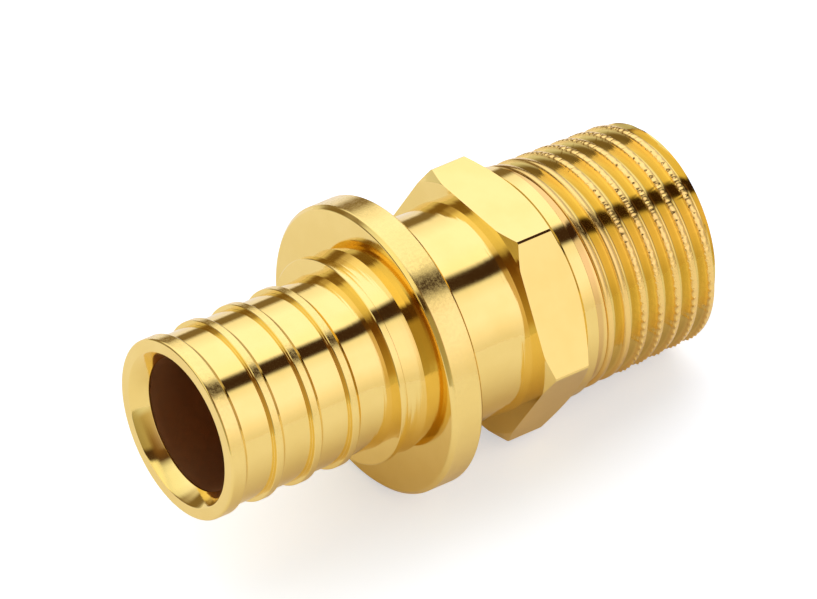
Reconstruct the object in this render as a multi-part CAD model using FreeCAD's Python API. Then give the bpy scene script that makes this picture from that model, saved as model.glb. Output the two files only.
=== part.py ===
import FreeCAD, Part
import math
import os

# Straight adapter that joins a plastic pipe to a tapered female pipe thread.
# It is turned from one piece of brass: a ribbed tail that the pipe is pushed over, a collar,
# a flange that a sliding sleeve stops against, a plain neck, a hexagon for the spanner and
# a tapered male thread, with one straight bore from end to end.
# All sizes are in millimetres. The section is drawn with the axis along +X and the tip of
# the tail at x = 0, and the finished piece is then laid down as it comes to rest.

V = FreeCAD.Vector
ORIGIN = V(0, 0, 0)
AXIS = V(1, 0, 0)

# Bore
bore_diameter = 12.4
mouth_diameter = 14.3
mouth_depth = 1.45
outlet_chamfer = 0.6

# Ribbed tail, from the tip to the collar
core_diameter = 15.9
rib_height = 0.4
tip_edge = 0.2
tip_land = 1.5
first_valley = 3.2
rib_count = 3
rib_land = 0.75
rib_valley = 3.25
last_valley = 3.6

# Collar and the short root behind it, which widens a little towards the flange
collar_diameter = 19.1
collar_width = 0.7
root_diameter = 18.1
root_length = 2.05
root_flare = 0.3

# Flange
flange_diameter = 26.8
flange_thickness = 3.25
flange_front_edge = 0.4
flange_back_edge = 0.3

# Neck
neck_diameter = 19.4
neck_length = 7.75

# Hexagon
hex_across_flats = 22.0
hex_width = 5.0
hex_face_diameter = 23.4
hex_chamfer_angle = 30.0

# Band behind the hexagon and the shallow relief before the thread
band_diameter = 21.6
band_width = 1.6
relief_diameter = 20.66
relief_width = 0.95

# Tapered thread: a half inch pipe thread, right hand
thread_diameter = 20.955
thread_pitch = 1.814
thread_length = 12.45
thread_gauge_length = 8.2
thread_taper = 1.0 / 16.0
thread_depth = 0.9
thread_crest = 0.55
thread_flank_angle = 27.5
thread_end_chamfer = 0.4
thread_start_turn = 0.944
thread_runout = 1.45
groove_clearance = 0.3

# How far the lowest flat of the hexagon is from facing straight down, in degrees
flat_lean = 0.0

# Places along the axis, each from the one before it
ribs_start = tip_land + first_valley
collar_start = ribs_start + rib_count * rib_land + (rib_count - 1) * rib_valley + last_valley
collar_end = collar_start + collar_width
flange_start = collar_end + root_length
flange_end = flange_start + flange_thickness
hex_start = flange_end + neck_length
hex_end = hex_start + hex_width
band_end = hex_end + band_width
thread_start = band_end + relief_width
overall_length = thread_start + thread_length

core_radius = core_diameter / 2
rib_radius = core_radius + rib_height
hex_flat_radius = hex_across_flats / 2
hex_corner_radius = hex_flat_radius / math.cos(math.radians(30))
radial_taper = thread_taper / 2
thread_gap = thread_pitch - thread_crest


def crest_radius(x):
    """Radius over the crests of the tapered thread at a place along the axis."""
    gauge_plane = overall_length - thread_gauge_length
    return thread_diameter / 2 + (gauge_plane - x) * radial_taper


def revolved(corners):
    """Solid of revolution about the X axis from a closed outline of (x, radius) corners."""
    points = [V(x, radius, 0) for x, radius in corners]
    outline = Part.makePolygon(points + points[:1])
    return Part.Face(outline).revolve(ORIGIN, AXIS, 360)


def tail_outline():
    """Corners of the ribbed tail: a land at the tip, then ribs that stand on a plain core."""
    corners = [
        (0, rib_radius - tip_edge),
        (tip_edge, rib_radius),
        (tip_land, rib_radius),
        (tip_land + rib_height, core_radius),
    ]
    for i in range(rib_count):
        rib = ribs_start + i * (rib_land + rib_valley)
        corners += [
            (rib, core_radius),
            (rib, rib_radius),
            (rib + rib_land, rib_radius),
            (rib + rib_land + rib_height, core_radius),
        ]
    return corners


def middle_outline():
    """Corners of the collar, the flange, the neck and the band behind the hexagon."""
    collar = collar_diameter / 2
    root = root_diameter / 2
    flange = flange_diameter / 2
    neck = neck_diameter / 2
    band = band_diameter / 2
    relief = relief_diameter / 2
    return [
        (collar_start, core_radius),
        (collar_start, collar),
        (collar_end, collar),
        (collar_end, root),
        (flange_start, root + root_flare),
        (flange_start, flange - flange_front_edge),
        (flange_start + flange_front_edge, flange),
        (flange_end - flange_back_edge, flange),
        (flange_end, flange - flange_back_edge),
        (flange_end, neck),
        (hex_start, neck),
        (hex_start, band),
        (band_end, band),
        (band_end, relief),
        (thread_start, relief),
    ]


def thread_outline():
    """Corners of the tapered thread blank, from the relief to the end face."""
    slope = math.tan(math.radians(thread_flank_angle))
    rise = (crest_radius(thread_start) - relief_diameter / 2) * slope
    last = overall_length - thread_end_chamfer
    return [
        (thread_start + rise, crest_radius(thread_start + rise)),
        (last, crest_radius(last)),
        (overall_length, crest_radius(last) - thread_end_chamfer),
    ]


def bore_outline():
    """Corners of the bore, from the outlet back to the flared mouth of the tail."""
    bore = bore_diameter / 2
    return [
        (overall_length, bore + outlet_chamfer),
        (overall_length - outlet_chamfer, bore),
        (mouth_depth, bore),
        (0, mouth_diameter / 2),
    ]


def hexagon():
    """Hexagonal prism with both faces chamfered by cones, bored to sit round the neck."""
    corners = []
    for k in range(7):
        angle = math.radians(60 * k)
        y = hex_corner_radius * math.cos(angle)
        z = hex_corner_radius * math.sin(angle)
        corners.append(V(hex_start, y, z))
    prism = Part.Face(Part.makePolygon(corners)).extrude(V(hex_width, 0, 0))
    slope = math.tan(math.radians(hex_chamfer_angle))
    beyond = hex_corner_radius + 1
    face = hex_face_diameter / 2
    inner = bore_diameter / 2 + 1
    cones = revolved([
        (hex_start, inner),
        (hex_start, face),
        (hex_start + (beyond - face) * slope, beyond),
        (hex_end - (beyond - hex_flat_radius) * slope, beyond),
        (hex_end, hex_flat_radius),
        (hex_end, inner),
    ])
    return prism.common(cones)


def helix_edge(height, radius, offset, taper):
    """One conical helix about Z that widens as it rises, moved along the axis by an offset."""
    helix = Part.makeHelix(thread_pitch, height, radius, math.degrees(math.atan(taper)))
    helix.translate(V(0, 0, offset))
    return helix.Edges[0]


def groove_turn(x, height, taper):
    """Solid of the thread groove for up to one turn, wound back from x towards the hexagon."""
    slope = math.tan(math.radians(thread_flank_angle))
    crest = crest_radius(x)
    root_gap = thread_gap - 2 * thread_depth * slope
    outer_gap = thread_gap + 2 * groove_clearance * slope
    rails = [
        helix_edge(height, crest - thread_depth, -root_gap / 2, taper),
        helix_edge(height, crest - thread_depth, root_gap / 2, taper),
        helix_edge(height, crest + groove_clearance, outer_gap / 2, taper),
        helix_edge(height, crest + groove_clearance, -outer_gap / 2, taper),
    ]
    faces = [Part.makeRuledSurface(rails[i - 1], rails[i], 1) for i in range(4)]
    for end in (0, 1):
        points = [rail.Vertexes[end].Point for rail in rails]
        faces.append(Part.Face(Part.makePolygon(points + points[:1])))
    groove = Part.Solid(Part.Shell(faces))
    if groove.Volume < 0:
        groove.reverse()
    groove.Placement = FreeCAD.Placement(V(x, 0, 0), FreeCAD.Rotation(V(0, 1, 0), -90))
    return groove


def thread_groove():
    """The groove as a row of single turns. The last one rises out of the metal as a die leaves it."""
    turns = []
    x = overall_length + thread_start_turn * thread_pitch
    while x - thread_pitch > thread_start + thread_crest:
        turns.append(groove_turn(x, thread_pitch, radial_taper))
        x -= thread_pitch
    runout_taper = (thread_depth + groove_clearance / 2) / thread_runout
    turns.append(groove_turn(x, thread_runout, runout_taper))
    return turns


def rest_placement():
    """Lays the piece down as it rests: on the flange and on the end of the thread."""
    flange_x = flange_end - flange_back_edge
    flange_r = flange_diameter / 2
    end_x = overall_length - thread_end_chamfer
    dip = math.atan2(flange_r - crest_radius(end_x), end_x - flange_x)
    roll = FreeCAD.Rotation(AXIS, 60 - flat_lean)
    tilt = FreeCAD.Rotation(V(0, 1, 0), math.degrees(dip))
    return FreeCAD.Placement(ORIGIN, tilt.multiply(roll))


def connector():
    body = revolved(tail_outline() + middle_outline() + thread_outline() + bore_outline())
    body = body.fuse(hexagon()).removeSplitter()
    return body.cut(thread_groove())


def laid_down(shape):
    """The shape as it rests, with the origin at the middle of the bottom of its box."""
    shape = shape.copy()
    shape.Placement = rest_placement()
    box = shape.optimalBoundingBox(False)
    middle = V((box.XMin + box.XMax) / 2, (box.YMin + box.YMax) / 2, box.ZMin)
    shape.translate(-middle)
    return shape


def main():
    os.makedirs("parts", exist_ok=True)
    piece = laid_down(connector())
    piece.exportStep("parts/connector_body.step")
    box = piece.optimalBoundingBox(False)
    print("volume", round(piece.Volume, 2), "valid", piece.isValid(), "solids", len(piece.Solids))
    print("box", box)


main()
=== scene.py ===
import math

import bmesh
import bpy
import numpy as np
from mathutils import Matrix, Vector


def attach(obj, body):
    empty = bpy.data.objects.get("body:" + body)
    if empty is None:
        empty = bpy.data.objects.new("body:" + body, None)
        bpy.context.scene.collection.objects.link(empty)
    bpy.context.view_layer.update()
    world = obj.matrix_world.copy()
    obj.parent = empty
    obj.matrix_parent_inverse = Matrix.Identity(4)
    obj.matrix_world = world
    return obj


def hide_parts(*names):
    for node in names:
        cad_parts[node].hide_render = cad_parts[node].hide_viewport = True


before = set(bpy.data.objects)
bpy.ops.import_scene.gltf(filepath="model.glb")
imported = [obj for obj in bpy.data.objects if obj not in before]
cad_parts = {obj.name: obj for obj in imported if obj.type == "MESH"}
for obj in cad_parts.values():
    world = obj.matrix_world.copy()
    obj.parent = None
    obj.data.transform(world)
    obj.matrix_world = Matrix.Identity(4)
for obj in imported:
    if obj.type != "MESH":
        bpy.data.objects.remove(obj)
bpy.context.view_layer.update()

MM = 0.001

# The piece in its own frame, in millimetres, with the axis along X from the tip of the tail.
# First the radii, then the places along the axis.
BORE_R = 6.2
MOUTH_R = 7.15
CORE_R = 7.95
RIB_R = 8.35
COLLAR_R = 9.55
ROOT_R = 9.05
FLANGE_R = 13.4
NECK_R = 9.7
HEX_FLAT_R = 11.0
HEX_FACE_R = 11.7
BAND_R = 10.8
RELIEF_R = 10.33
END_FACE_R = 9.0

MOUTH_DEPTH = 1.45
TIP_LAND = 1.44
RIB_STARTS = (4.7, 8.7, 12.7)
COLLAR_START = 17.05
COLLAR_END = 17.75
FLANGE_START = 19.8
FLANGE_END = 23.05
HEX_START = 30.8
HEX_END = 35.8
BAND_END = 37.4
RELIEF_END = 37.7
THREAD_START = 37.8
THREAD_END = 51.3
OUTLET_CHAMFER = 0.6

# Small forms: the width of plain edges, the round of the tip, the depth of the groove where the
# band starts, the slope of the hexagon's chamfers and half the angle that its corners take up
EDGE = 0.06
TIP_ROUND = 0.22
BAND_GROOVE = 0.12
HEX_CHAMFER = math.radians(30)
HEX_CORNER = math.radians(0.55)

# A rib, as steps along the axis from its front, each with its radius
RIB = (
    (-0.02, CORE_R),
    (0, CORE_R + 0.02),
    (0, RIB_R - EDGE),
    (EDGE, RIB_R),
    (0.7, RIB_R),
    (0.77, RIB_R - 0.03),
    (1.15, CORE_R),
)

# Flares, as places along the axis, each with its rise over the plain radius
CORE_FLARE = ((15.2, 0), (15.8, 0.012), (16.4, 0.05), (COLLAR_START, 0.13))
ROOT_FLARE = ((COLLAR_END, 0), (18.4, 0.08), (19.0, 0.19), (FLANGE_START, 0.37))
NECK_FLARE = ((28.4, 0), (29.2, 0.02), (30.0, 0.07), (HEX_START, 0.16))

# Edges of the flange, as distances from its face, each with its distance from the rim
FRONT_EDGE = ((0, 0.42), (0.04, 0.32), (0.32, 0.04), (0.42, 0))
BACK_EDGE = ((0.32, 0), (0.25, 0.04), (0.03, 0.26), (0, 0.32))

# The thread: a tapered right-hand pipe thread. CREST_AT is the middle of one crest at angle 0,
# and FIRST_CREST counts back from it to the crest where the thread starts. CREST is the width of
# a crest, and its edges drop by CREST_EDGE.
PITCH = 1.88
THREAD_R = 10.4775
GAUGE_PLANE = 42.6
TAPER = 1 / 32
CREST = 0.52
CREST_EDGE = 0.03
CREST_AT = 49.61
FIRST_CREST = 6
END_CHAMFER = 0.4
ROOT_ROUND = 0.2
FLANK_BEND = 0.12
FLANK = math.radians(27.5)
DEPTH = (PITCH - CREST) / 2 / math.tan(FLANK) - ROOT_ROUND * (1 / math.sin(FLANK) - 1)
HALF_GROOVE = (PITCH - CREST) / 2
HALF_ROOT = ROOT_ROUND * math.cos(FLANK)

# The first crest starts at START_TURN, as a part of a turn round the axis. It reaches its height
# over CREST_RISE of a turn, and the groove behind it reaches its depth over GROOVE_FALL.
START_TURN = 0.64
CREST_RISE = 0.1
GROOVE_FALL = 0.35

# Marks rolled into the crests: how many to a turn, how strong and how wide each series is.
# NOTCH_FROM counts crests from CREST_AT.
NOTCH_SERIES = ((76, 1.0, 0.15), (190, 0.45, 0.09))
NOTCH_DEPTH = 0.08
NOTCH_FROM = -4.6
BEAD_HEIGHT = 0.18
BEAD_MIDDLE = -0.2
BEAD_WIDTH = 0.13

# How the piece lies
DIP = math.radians(6.532586)
ROLL = math.radians(60)
TIP = Vector((-25.329604, 0.0, 15.901226))

# The mesh: columns round the axis, of which the thread has FINE times as many. CRESTS numbers
# the crests back from CREST_AT, and CREST_ROWS are steps along the axis from each crest's middle.
COLUMNS = 228
FINE = 3
ANGLES = np.linspace(0, 2 * math.pi, COLUMNS + 1)
FINE_ANGLES = np.linspace(0, 2 * math.pi, COLUMNS * FINE + 1)
CREST_ROWS = (-0.37, -0.3, -0.24, -0.16, -0.04, 0.12, 0.24, 0.34, 0.6)
CRESTS = range(8, -3, -1)

# A stretch over LONG gets a point NEAR_END from each end. Points closer than WELD, in metres,
# become one. Edges over SHARP are sharp, but not deeper in the thread than GROOVE_BOTTOM.
LONG = 0.3
NEAR_END = 0.03
WELD = 2e-7
SHARP = math.radians(26)
GROOVE_BOTTOM = 0.85


def smooth(low, high, value):
    """An even step from 0 at low to 1 at high. Either of them may be the larger one."""
    t = np.clip((value - low) / (high - low), 0.0, 1.0)
    return t * t * (3 - 2 * t)


# Rows of the mesh, each with x, radius and angle for all its columns

def ring(x, r):
    """Row of one radius, square to the axis."""
    return np.full(COLUMNS + 1, float(x)), np.full(COLUMNS + 1, float(r)), ANGLES


def held(points):
    """Adds a point close to each end of every long stretch, so that its shading stays even."""
    result = []
    for (x0, r0), (x1, r1) in zip(points, points[1:]):
        result.append((x0, r0))
        length = math.hypot(x1 - x0, r1 - r0)
        if length > LONG:
            t = NEAR_END / length
            result.append((x0 + (x1 - x0) * t, r0 + (r1 - r0) * t))
            result.append((x1 + (x0 - x1) * t, r1 + (r0 - r1) * t))
    result.append(points[-1])
    return result


def rings(points):
    return [ring(x, r) for x, r in held(points)]


def tip_points():
    """Rounded outer edge of the tip, as a quarter of a circle."""
    steps = 5
    points = []
    for i in range(steps + 1):
        a = math.radians(180 - 90 * i / steps)
        x = TIP_ROUND + TIP_ROUND * math.cos(a)
        points.append((x, RIB_R - TIP_ROUND + TIP_ROUND * math.sin(a)))
    return points


def tail_rows():
    """From the mouth of the bore over the ribs, the collar, the flange and the neck."""
    points = [(0.07, MOUTH_R - 0.045), (0.0, MOUTH_R + 0.05), (0.0, 8.02)]
    points += tip_points()
    points += [(TIP_LAND, RIB_R), (TIP_LAND + 0.08, RIB_R - 0.03), (TIP_LAND + 0.46, CORE_R)]
    for start in RIB_STARTS:
        points += [(start + step, r) for step, r in RIB]
    points += [(x, CORE_R + rise) for x, rise in CORE_FLARE]
    points += [
        (COLLAR_START, COLLAR_R - EDGE),
        (COLLAR_START + EDGE, COLLAR_R),
        (COLLAR_END - EDGE, COLLAR_R),
        (COLLAR_END, COLLAR_R - EDGE),
    ]
    points += [(x, ROOT_R + rise) for x, rise in ROOT_FLARE]
    points += [(FLANGE_START + step, FLANGE_R - drop) for step, drop in FRONT_EDGE]
    points += [(FLANGE_END - step, FLANGE_R - drop) for step, drop in BACK_EDGE]
    points.append((FLANGE_END, NECK_R))
    points += [(x, NECK_R + rise) for x, rise in NECK_FLARE]
    return rings(points)


def hexagon_rows():
    """Flats, rounded corners and the two chamfers, with the rows on the edges between them."""
    per_side = COLUMNS // 6
    offset = (np.arange(COLUMNS + 1) + per_side // 2) % per_side - per_side // 2
    side = 2 * math.pi / 6
    step = side / per_side
    # the column next to each corner moves to the edge of its rounding, and the next one close to it
    angles = ANGLES.copy()
    for k, place in ((1, HEX_CORNER), (2, 1.2 * HEX_CORNER)):
        shift = place - k * step
        angles = np.where(offset == k, ANGLES + shift, angles)
        angles = np.where(offset == -k, ANGLES - shift, angles)
    within = (angles + side / 2) % side - side / 2
    flat = HEX_FLAT_R / np.cos(side / 2 - np.abs(within))
    corner = HEX_FLAT_R / math.cos(side / 2 - HEX_CORNER) * math.cos(HEX_CORNER)
    radius = np.where(offset == 0, corner, flat)
    slope = math.tan(HEX_CHAMFER)
    face = np.minimum(radius, HEX_FACE_R)
    front = HEX_START + np.maximum(0, radius - HEX_FACE_R) * slope
    back = HEX_END - (radius - HEX_FLAT_R) * slope
    rows = [(np.full(COLUMNS + 1, HEX_START), face, angles), (front, radius, angles)]
    for t in (0.03, 0.97):
        rows.append((front + (back - front) * t, radius, angles))
    rows.append((back, radius, angles))
    return rows


def band_rows():
    """The back of the hexagon, a small groove, the band and the relief."""
    return rings([
        (HEX_END, HEX_FLAT_R),
        (HEX_END, BAND_R - BAND_GROOVE),
        (HEX_END + 0.24, BAND_R - BAND_GROOVE),
        (HEX_END + 0.34, BAND_R),
        (BAND_END - EDGE, BAND_R),
        (BAND_END, BAND_R - EDGE),
        (BAND_END, RELIEF_R),
        (RELIEF_END, RELIEF_R),
    ])


def crest_radius(x):
    return THREAD_R + (GAUGE_PLANE - x) * TAPER


def groove_depth(away):
    """Depth of the full groove at a distance from its middle: bent flanks and a rounded root."""
    width = HALF_GROOVE - HALF_ROOT
    down = np.clip((HALF_GROOVE - away) / width, 0, 1)
    flank = (down + FLANK_BEND * down * (1 - down)) * width / math.tan(FLANK)
    inside = np.sqrt(np.maximum(ROOT_ROUND ** 2 - away ** 2, 0))
    return np.where(away < HALF_ROOT, DEPTH - ROOT_ROUND + inside, flank)


def chance(number):
    """A fixed value from 0 to 1 for each whole number, with no order that can be seen."""
    value = np.sin(number * 12.9898) * 43758.5453
    return value - np.floor(value)


def rolled(radius, x, angles):
    """The radius with the marks rolled into the crests, no two quite the same.

    They are notches, deeper on the side of the crest that faces the tail. Low on one side of
    the thread, beads stand in their places.
    """
    turn = angles / (2 * math.pi)
    place = (x - CREST_AT) / PITCH - turn
    number = np.round(place)
    side = (place - number) * PITCH
    notches = 0
    for count, strength, width in NOTCH_SERIES:
        mark = (turn + number) * count
        off = mark - np.round(mark)
        span = off * 2 * math.pi * THREAD_R / count
        depth = 0.3 + chance(np.round(mark))
        notches = notches + strength * depth * np.exp(-(span / width) ** 2)
    mark = (turn + number) * NOTCH_SERIES[0][0]
    off = mark - np.round(mark)
    beads = (0.6 + 0.4 * chance(np.round(mark))) * np.cos(math.pi * off) ** 4
    beads = beads * np.exp(-((side - BEAD_MIDDLE) / BEAD_WIDTH) ** 2)
    lean = np.clip(0.45 - side / CREST * 1.3, 0.05, 1.1) * np.clip((side + 0.36) / 0.08, 0, 1)
    cut = smooth(NOTCH_FROM, NOTCH_FROM + 0.15, (x - CREST_AT) / PITCH)
    low = smooth(1.65, 2.1, angles) * smooth(3.2, 2.8, angles)
    edge = CREST_EDGE * np.clip((np.abs(side) - 0.15) / 0.09, 0, 1) ** 2
    notched = crest_radius(x) - edge - NOTCH_DEPTH * cut * (1 - low) * lean * notches
    return np.minimum(radius, notched) + BEAD_HEIGHT * cut * low * beads


def thread_radius(x, angles):
    """Radius of the threaded surface at places along the axis and angles round it."""
    crest = crest_radius(x)
    last = THREAD_END - END_CHAMFER
    blank = np.where(x > last, crest_radius(last) - (x - last), crest)
    turn = angles / (2 * math.pi)
    groove = (x - CREST_AT - PITCH / 2) / PITCH - turn
    depth = groove_depth(np.abs(groove - np.round(groove)) * PITCH)
    # the groove behind the first crest gets deeper over a part of a turn
    first = (x - CREST_AT) / PITCH - turn + FIRST_CREST
    begun = np.where(turn > START_TURN, turn - 1, turn)
    first = np.where(turn > START_TURN, first + 1, first)
    deep = DEPTH * smooth(START_TURN - 1, START_TURN - 1 + GROOVE_FALL, begun)
    deep = np.maximum(np.where(first < 0, 0, deep), crest - RELIEF_R)
    depth = np.where(first < 1, np.minimum(depth, deep), depth)
    radius = np.minimum(blank, crest - depth)
    # the first crest itself rises out of the relief
    ridge = crest - RELIEF_R - np.maximum(-first * PITCH - CREST / 2, 0) / math.tan(FLANK)
    ridge = np.maximum(ridge, 0) * smooth(START_TURN - 1, START_TURN - 1 + CREST_RISE, begun)
    radius = np.where(first < 0.2, np.minimum(radius, RELIEF_R + ridge), radius)
    return rolled(radius, x, angles)


def thread_rows():
    """Rows that wind with the crests, between a plain row at the relief and the chamfer."""
    offsets = [*CREST_ROWS, *(PITCH / 2 + HALF_ROOT * t for t in (-1, 0, 1))]
    last = THREAD_END - END_CHAMFER
    size = len(FINE_ANGLES)
    rows = [(np.full(size, THREAD_START), np.full(size, RELIEF_R), FINE_ANGLES)]
    for k in CRESTS:
        for offset in offsets:
            x = CREST_AT + PITCH * (FINE_ANGLES / (2 * math.pi) - k) + offset
            if x.max() < THREAD_START or x.min() > last:
                continue
            x = np.clip(x, THREAD_START, last)
            rows.append((x, thread_radius(x, FINE_ANGLES), FINE_ANGLES))
    for x in (last, last + 0.13, last + 0.26, THREAD_END):
        x = np.full(size, x)
        rows.append((x, thread_radius(x, FINE_ANGLES), FINE_ANGLES))
    return rows


def bore_rows():
    """From the end face back through the bore to the flare of its mouth."""
    return rings([
        (THREAD_END, END_FACE_R),
        (THREAD_END, BORE_R + OUTLET_CHAMFER),
        (THREAD_END - OUTLET_CHAMFER, BORE_R),
        (THREAD_END / 2, BORE_R),
        (MOUTH_DEPTH + 0.02, BORE_R),
        (MOUTH_DEPTH - 0.03, BORE_R + 0.02),
    ])


def strip(above, below, above_count, below_count):
    """Faces between two rows, of which one may have FINE times as many columns."""
    faces = []
    up = FINE if above_count > below_count else 1
    down = FINE if below_count > above_count else 1
    for j in range(min(above_count, below_count)):
        top = [above + j * up + i for i in range(up + 1)]
        foot = [below + j * down + i for i in range(down, -1, -1)]
        faces.append(top + foot)
    return faces


def set_shading(bm):
    """Smooth shading but for the sharp edges. The bottom of the thread is never sharp."""
    for face in bm.faces:
        face.smooth = True
    for edge in bm.edges:
        if len(edge.link_faces) != 2:
            continue
        edge.smooth = edge.calc_face_angle(0.0) < SHARP
        x = edge.verts[0].co.x / MM
        depth = [crest_radius(x) - math.hypot(v.co.y, v.co.z) / MM for v in edge.verts]
        if THREAD_START < x < THREAD_END - 1 and min(depth) > GROOVE_BOTTOM:
            edge.smooth = True


def build_mesh(name, rows):
    """One closed skin from rows of columns. Points that meet are welded."""
    points = []
    starts = []
    total = 0
    for x, r, a in rows:
        a = np.append(a[:-1], a[0])
        points.append(np.stack([x, r * np.cos(a), r * np.sin(a)], axis=-1) * MM)
        starts.append(total)
        total += len(x)
    faces = []
    for i in range(len(rows)):
        k = (i + 1) % len(rows)
        faces += strip(starts[i], starts[k], len(rows[i][0]) - 1, len(rows[k][0]) - 1)
    mesh = bpy.data.meshes.new(name)
    mesh.from_pydata(np.concatenate(points).tolist(), [], faces)
    bm = bmesh.new()
    bm.from_mesh(mesh)
    bmesh.ops.remove_doubles(bm, verts=bm.verts, dist=WELD)
    bmesh.ops.dissolve_degenerate(bm, edges=bm.edges, dist=WELD / 2)
    bmesh.ops.recalc_face_normals(bm, faces=bm.faces)
    set_shading(bm)
    bm.to_mesh(mesh)
    bm.free()
    return mesh


rows = tail_rows() + hexagon_rows() + band_rows() + thread_rows() + bore_rows()
mesh = build_mesh("connector", rows)
mesh.transform(
    Matrix.Translation(TIP * MM)
    @ Matrix.Rotation(DIP, 4, "Y")
    @ Matrix.Rotation(ROLL, 4, "X")
)
connector = bpy.data.objects.new("connector", mesh)
bpy.context.scene.collection.objects.link(connector)


class Nodes:
    """Short hand for building a node tree."""

    def __init__(self, tree):
        self.tree = tree
        tree.nodes.clear()

    def add(self, kind, **settings):
        node = self.tree.nodes.new(kind)
        for key, value in settings.items():
            setattr(node, key, value)
        return node

    def link(self, source, target):
        self.tree.links.new(source, target)

    def math(self, operation, a, b=None):
        node = self.add("ShaderNodeMath", operation=operation)
        for socket, value in zip(node.inputs, (a, b)):
            if value is None:
                continue
            if isinstance(value, (int, float)):
                socket.default_value = value
            else:
                self.link(value, socket)
        return node.outputs[0]

    def plus(self, a, b):
        return self.math("ADD", a, b)

    def times(self, a, b):
        return self.math("MULTIPLY", a, b)

    def dot(self, vector, direction):
        node = self.add("ShaderNodeVectorMath", operation="DOT_PRODUCT")
        self.link(vector, node.inputs[0])
        node.inputs[1].default_value = direction
        return node.outputs["Value"]

    def step(self, value, low, high, start=0.0, stop=1.0):
        """An even step from start at low to stop at high. Either end may be the larger one."""
        node = self.add("ShaderNodeMapRange", interpolation_type="SMOOTHSTEP")
        self.link(value, node.inputs["Value"])
        node.inputs["From Min"].default_value = low
        node.inputs["From Max"].default_value = high
        node.inputs["To Min"].default_value = start
        node.inputs["To Max"].default_value = stop
        return node.outputs["Result"]

    def noise(self, vector, scale, detail, roughness):
        """Noise with a scale of its own along each axis."""
        mapping = self.add("ShaderNodeMapping")
        self.link(vector, mapping.inputs["Vector"])
        mapping.inputs["Scale"].default_value = scale
        node = self.add("ShaderNodeTexNoise")
        self.link(mapping.outputs["Vector"], node.inputs["Vector"])
        node.inputs["Scale"].default_value = 1.0
        node.inputs["Detail"].default_value = detail
        node.inputs["Roughness"].default_value = roughness
        return node.outputs[0]

    def mix(self, factor, a, b):
        """Between two colours, each given as three numbers or as a socket."""
        node = self.add("ShaderNodeMix", data_type="RGBA")
        self.link(factor, node.inputs["Factor"])
        for socket, value in ((node.inputs[6], a), (node.inputs[7], b)):
            if isinstance(value, tuple):
                socket.default_value = (*value, 1)
            else:
                self.link(value, socket)
        return node.outputs[2]


# Brass

PLAIN_BRASS = (0.9, 0.695, 0.235)
CLOUDED_BRASS = (0.88, 0.67, 0.215)
CREST_BRASS = (0.89, 0.63, 0.2)
# painted shade in the grooves of the thread
SHADED_GROOVE_BRASS = (0.76, 0.58, 0.17)
# painted shade in the sunken relief before the thread
SHADED_RELIEF_BRASS = (0.74, 0.5, 0.17)
# painted shade and painted bounced light down the bore
SHADED_BORE_BRASS = (0.62, 0.34, 0.15)


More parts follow.
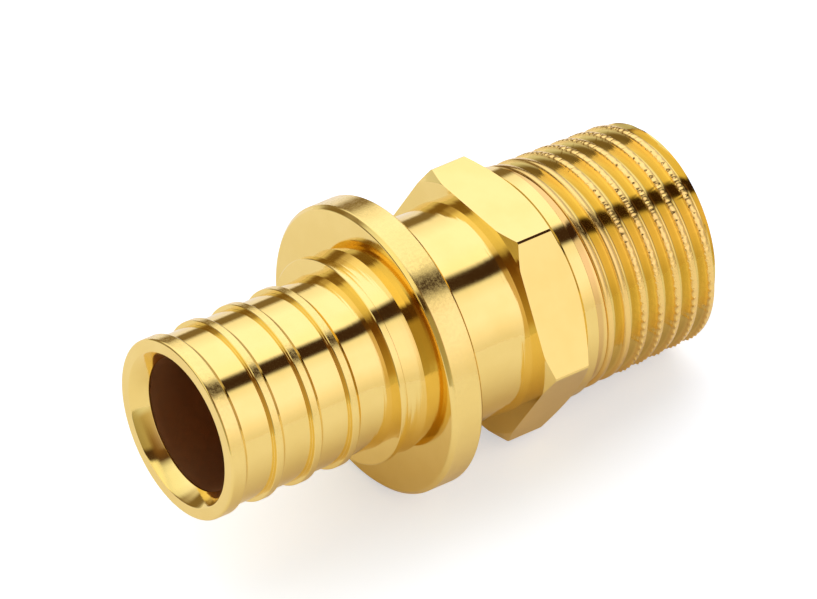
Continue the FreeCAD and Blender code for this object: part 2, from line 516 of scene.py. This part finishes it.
def brass_material():
    material = bpy.data.materials.new("brass")
    material.use_nodes = True
    n = Nodes(material.node_tree)

    # the place in the piece's own frame, as if it hadn't been laid down
    lying = n.add("ShaderNodeMapping", vector_type="TEXTURE")
    n.link(n.add("ShaderNodeTexCoord").outputs["Object"], lying.inputs["Vector"])
    lying.inputs["Location"].default_value = TIP * MM
    lying.inputs["Rotation"].default_value = (ROLL, DIP, 0)
    place = lying.outputs["Vector"]
    parts = n.add("ShaderNodeSeparateXYZ")
    n.link(place, parts.inputs[0])
    x, y, z = parts.outputs
    radius = n.math("SQRT", n.plus(n.times(y, y), n.times(z, z)))

    # the radius as it would be on a straight thread, and its crests there
    straight = n.plus(radius, n.times(x, TAPER))
    top = THREAD_R + GAUGE_PLANE * TAPER

    def part(value, low, high):
        return n.step(value, low * MM, high * MM)

    # where the surface is coarser: the rim of the flange, the lands and the crests
    rim = part(radius, FLANGE_R - 0.2, FLANGE_R - 0.05)
    before_collar = part(x, COLLAR_START - 0.25, COLLAR_START - 0.45)
    lands = n.times(part(radius, RIB_R - 0.05, RIB_R - 0.01), before_collar)
    on_thread = part(x, THREAD_START + 0.3, THREAD_START + 0.5)
    crest = n.times(part(straight, top - 0.3, top - 0.2), on_thread)
    worn = n.math("MAXIMUM", rim, n.math("MAXIMUM", lands, crest))

    # where shade is painted as darker brass: the grooves of the thread, the relief before it and
    # the bore
    past_relief = part(x, THREAD_START + 0.3, THREAD_START + 0.6)
    groove = n.times(part(straight, top - 0.3, top - 0.5), past_relief)
    before_thread = part(x, THREAD_START + 0.6, THREAD_START + 0.3)
    relief = n.times(part(x, BAND_END - 0.05, BAND_END + 0.02), before_thread)
    past_mouth = part(x, MOUTH_DEPTH - 0.05, MOUTH_DEPTH + 0.25)
    bore = n.times(part(radius, BORE_R + 0.12, BORE_R + 0.04), past_mouth)

    lathe = n.noise(place, (9000, 60, 60), 3.0, 0.6)
    waves = n.noise(place, (1500, 200, 200), 2.0, 0.5)
    grain = n.noise(place, (3500, 3500, 3500), 3.0, 0.6)
    cloud = n.noise(place, (250, 250, 250), 4.0, 0.55)

    colour = n.mix(n.step(cloud, 0.35, 0.65), PLAIN_BRASS, CLOUDED_BRASS)
    colour = n.mix(crest, colour, CREST_BRASS)
    # painted shade in the grooves
    colour = n.mix(groove, colour, SHADED_GROOVE_BRASS)
    # painted shade in the relief
    colour = n.mix(relief, colour, SHADED_RELIEF_BRASS)
    # painted shade down the bore
    colour = n.mix(bore, colour, SHADED_BORE_BRASS)

    polished = n.step(cloud, 0.3, 0.7, 0.06, 0.1)
    coarse = n.times(n.step(grain, 0.35, 0.65, 0.12, 0.28), 0.6)
    rough = n.plus(polished, n.times(worn, coarse))
    rough = n.plus(rough, n.times(bore, 0.4))

    height = n.plus(n.times(lathe, 0.6), n.times(waves, 0.8))
    height = n.plus(height, n.times(n.times(grain, worn), 0.6))
    bump = n.add("ShaderNodeBump")
    bump.inputs["Strength"].default_value = 0.25
    bump.inputs["Distance"].default_value = 0.02 * MM
    n.link(height, bump.inputs["Height"])

    shader = n.add("ShaderNodeBsdfPrincipled")
    shader.inputs["Metallic"].default_value = 1.0
    n.link(colour, shader.inputs["Base Color"])
    n.link(rough, shader.inputs["Roughness"])
    n.link(bump.outputs["Normal"], shader.inputs["Normal"])
    out = n.add("ShaderNodeOutputMaterial")
    n.link(shader.outputs[0], out.inputs["Surface"])
    return material


mesh.materials.append(brass_material())
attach(connector, "root")
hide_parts("connector_body")


# Floor: white paper that glows a little, less where the piece is close to it. Where the piece
# shades it, the paper turns warm: painted light thrown back from the brass.

FLOOR_R = 0.16
SHADE_REACH = 0.03
# paper in the shade of the piece: painted warm light thrown back from the brass
WARM_BOUNCE_PAPER = (0.88, 0.77, 0.5)
OPEN_PAPER = (0.88, 0.872, 0.85)
WHITE = (1, 1, 1)
SEEN_GLOW = (0.81, 0.96, 1.09)
SHADED_GLOW = 0.48
OPEN_GLOW = 0.58
MIRRORED_GLOW = 0.22


def paper_material():
    material = bpy.data.materials.new("paper")
    material.use_nodes = True
    n = Nodes(material.node_tree)
    path = n.add("ShaderNodeLightPath")
    seen = path.outputs["Is Camera Ray"]
    mirrored = path.outputs["Is Glossy Ray"]
    open_sky = n.add("ShaderNodeAmbientOcclusion")
    open_sky.inputs["Distance"].default_value = SHADE_REACH
    lit = open_sky.outputs["AO"]
    paper = n.add("ShaderNodeBsdfDiffuse")
    # the paper's colour goes warm where it is shaded: painted bounced light
    n.link(n.mix(lit, WARM_BOUNCE_PAPER, OPEN_PAPER), paper.inputs["Color"])
    direct = n.times(seen, n.step(lit, 0.0, 1.0, SHADED_GLOW, OPEN_GLOW))
    reflected = n.times(mirrored, n.times(lit, MIRRORED_GLOW))
    glow = n.add("ShaderNodeEmission")
    n.link(n.mix(seen, WHITE, SEEN_GLOW), glow.inputs["Color"])
    n.link(n.plus(direct, reflected), glow.inputs["Strength"])
    both = n.add("ShaderNodeAddShader")
    n.link(paper.outputs[0], both.inputs[0])
    n.link(glow.outputs[0], both.inputs[1])
    out = n.add("ShaderNodeOutputMaterial")
    n.link(both.outputs[0], out.inputs["Surface"])
    return material


def floor_object():
    bm = bmesh.new()
    bmesh.ops.create_circle(bm, cap_ends=True, segments=96, radius=FLOOR_R)
    floor_mesh = bpy.data.meshes.new("floor")
    bm.to_mesh(floor_mesh)
    bm.free()
    floor_mesh.materials.append(paper_material())
    floor = bpy.data.objects.new("floor", floor_mesh)
    bpy.context.scene.collection.objects.link(floor)
    return floor


floor_object()


# Studio light. Round the axis of the piece it is two long soft boxes over it, with a dark gap
# between them and another on the far side, level with the axis. Along the axis it goes over from
# what lies beyond the piece to what lies before it, and to what is straight in front of its tip.
# Angles are in degrees from straight up towards the near side, and LIGHT_LEAN is added to all.

LIGHT_LEAN = 5.9
BOX = (1.37, 1.33, 1.38)
FAR_BOX = (1.37, 1.35, 1.6)
NEAR_BOX = (1.33, 1.21, 1.42)
BOX_EDGE = (1.1, 1.05, 1.05)
NEAR_BOX_END = (1.15, 1.06, 1.1)
WALL = (0.93, 0.87, 0.84)
NEAR_WALL = (0.96, 0.88, 0.86)
UNDER = (0.84, 0.8, 0.74)
GAP = (0.05, 0.024, 0.014)
FAR_GAP = (0.24, 0.165, 0.075)
TIP_GOLD = (1.9, 1.8, 1.55)
DARK_GOLD = (0.12, 0.06, 0.03)


def grey(level):
    return (level, level, level)


BEYOND = (
    (-180, WALL),
    (-101, WALL),
    (-96, FAR_GAP),
    (-81, FAR_GAP),
    (-74, BOX_EDGE),
    (-50, FAR_BOX),
    (-20, FAR_BOX),
    (0, BOX),
    (5, GAP),
    (19, GAP),
    (23, BOX_EDGE),
    (38, NEAR_BOX),
    (58, NEAR_BOX),
    (72, NEAR_BOX_END),
    (84, NEAR_WALL),
    (180, UNDER),
)
BEFORE = (
    (-180, grey(0.8)),
    (-101, grey(0.75)),
    (-92, FAR_GAP),
    (-68, FAR_GAP),
    (-60, grey(0.95)),
    (-48, grey(1.15)),
    (-20, grey(1.15)),
    (-8, grey(0.95)),
    (4, DARK_GOLD),
    (20, (0.22, 0.11, 0.04)),
    (40, (0.32, 0.19, 0.08)),
    (60, (0.46, 0.34, 0.17)),
    (82, (0.6, 0.48, 0.28)),
    (92, grey(0.85)),
    (180, grey(0.85)),
)
IN_FRONT = (
    (-180, grey(0.85)),
    (-92, FAR_GAP),
    (-68, FAR_GAP),
    (-60, TIP_GOLD),
    (2, TIP_GOLD),
    (8, DARK_GOLD),
    (24, DARK_GOLD),
    (32, (0.75, 0.62, 0.35)),
    (90, (0.8, 0.7, 0.45)),
    (120, grey(0.85)),
    (180, grey(0.85)),
)


def ramp_of(n, value, stops):
    """Colour ramp over -180 to 180 degrees. It holds half of each level, as levels go up to 2."""
    ramp = n.add("ShaderNodeValToRGB")
    elements = ramp.color_ramp.elements
    for i, (angle, level) in enumerate(stops):
        spot = (angle + 180) / 360
        element = elements[i] if i < 2 else elements.new(spot)
        element.position = spot
        element.color = (*(c / 2 for c in level), 1)
    n.link(value, ramp.inputs["Fac"])
    return ramp.outputs["Color"]


def studio_world():
    world = bpy.data.worlds.new("studio")
    bpy.context.scene.world = world
    world.use_nodes = True
    n = Nodes(world.node_tree)
    way = n.add("ShaderNodeTexCoord").outputs["Generated"]
    over = n.dot(way, (math.sin(DIP), 0, math.cos(DIP)))
    near = n.dot(way, (0, -1, 0))
    along = n.dot(way, (math.cos(DIP), 0, -math.sin(DIP)))
    round_axis = n.times(n.math("ARCTAN2", near, over), 180 / math.pi)
    spot = n.math("DIVIDE", n.plus(round_axis, 180 - LIGHT_LEAN), 360)

    beyond = ramp_of(n, spot, BEYOND)
    before = ramp_of(n, spot, BEFORE)
    in_front = ramp_of(n, spot, IN_FRONT)
    colour = n.mix(n.step(along, -0.8, -0.65), in_front, before)
    colour = n.mix(n.step(along, -0.7, 0.15), colour, beyond)

    # twice the level that the ramps hold, dimmer beyond both ends of the piece
    past_thread = n.step(along, 0.5, 0.7, 1.0, 0.5)
    past_tip = n.step(along, -0.9, -0.55, 1.1, 2.0)
    light = n.add("ShaderNodeBackground")
    n.link(colour, light.inputs["Color"])
    n.link(n.times(past_thread, past_tip), light.inputs["Strength"])

    # the camera sees plain white
    white = n.add("ShaderNodeBackground")
    white.inputs["Color"].default_value = (*WHITE, 1)
    path = n.add("ShaderNodeLightPath")
    mix = n.add("ShaderNodeMixShader")
    n.link(path.outputs["Is Camera Ray"], mix.inputs[0])
    n.link(light.outputs[0], mix.inputs[1])
    n.link(white.outputs[0], mix.inputs[2])
    out = n.add("ShaderNodeOutputWorld")
    n.link(mix.outputs[0], out.inputs["Surface"])


studio_world()


# Camera

SENSOR_WIDTH = 36
FOCAL_LENGTH = 457.222
CAMERA_PLACE = (-0.36758273, -0.56422534, 0.61635268)
CAMERA_TURN = (48.2122559, 3.4432483, -36.1192972)


def make_camera():
    data = bpy.data.cameras.new("camera")
    data.sensor_width = SENSOR_WIDTH
    data.lens = FOCAL_LENGTH
    data.clip_start = 0.05
    data.clip_end = 20
    camera = bpy.data.objects.new("camera", data)
    bpy.context.scene.collection.objects.link(camera)
    camera.location = CAMERA_PLACE
    camera.rotation_euler = [math.radians(v) for v in CAMERA_TURN]
    bpy.context.scene.camera = camera


make_camera()
bpy.context.scene.view_settings.view_transform = "Standard"
